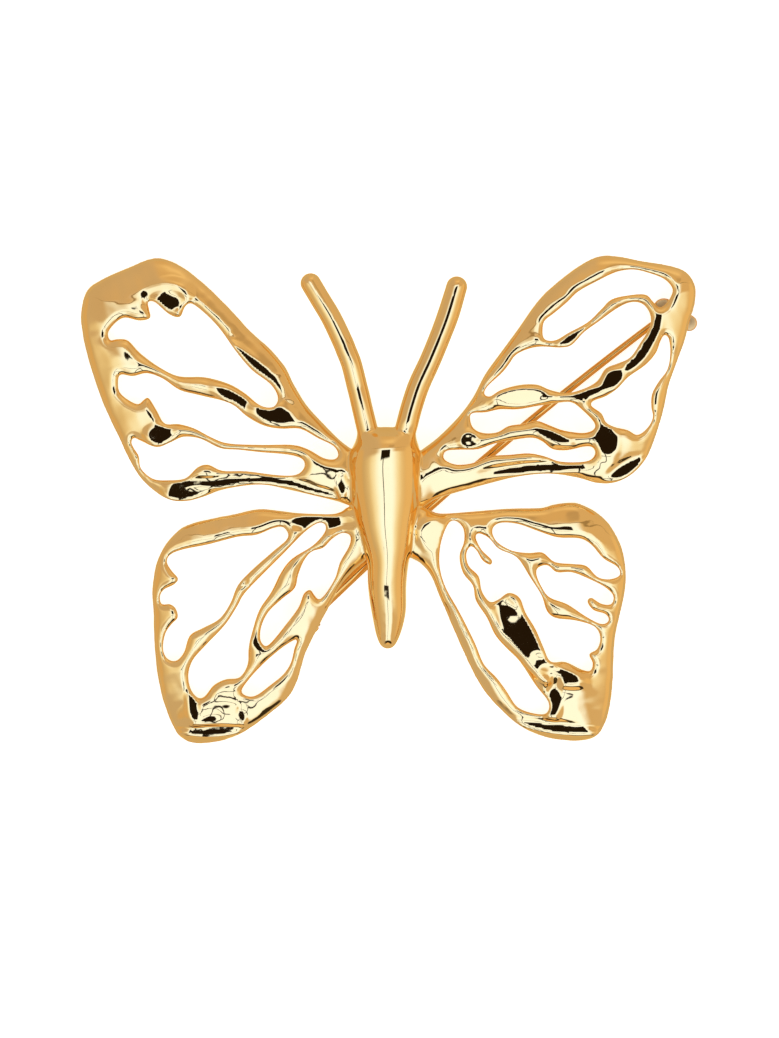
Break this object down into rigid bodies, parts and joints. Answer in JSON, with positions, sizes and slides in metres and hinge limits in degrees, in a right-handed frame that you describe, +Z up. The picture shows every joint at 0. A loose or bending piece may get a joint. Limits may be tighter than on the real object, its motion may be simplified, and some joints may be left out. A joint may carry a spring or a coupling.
{
  "type": "butterfly brooch",
  "caption": "Openwork butterfly brooch: one gold coloured casting with pierced, drooping wings, a long body and antennae, and a hinged pin stem with an open catch behind.",
  "frame": {"origin": "under the middle of the brooch, on the surface that it lies on", "axes": "+Z up, out of the brooch's front; +Y towards the antennae; +X to the right in the front view"},
  "size_m": [0.08, 0.0633, 0.0093],
  "materials": {
    "gold_plate": "mirror polished yellow gold plate",
    "stem_metal": "drawn wire, gold plated, polished"
  },
  "bodies": {
    "brooch": {"butterfly": "gold_plate", "hinge_rivet": "stem_metal"},
    "stem": {"pin_stem": "stem_metal"}
  },
  "joints": [
    {"name": "stem_swing", "type": "hinge", "parent": "brooch", "child": "stem", "pos_m": [-0.0106, -0.01575, 0.0015], "axis": [-0.6467, 0.7627, 0], "range_deg": [0, 100]}
  ]
}
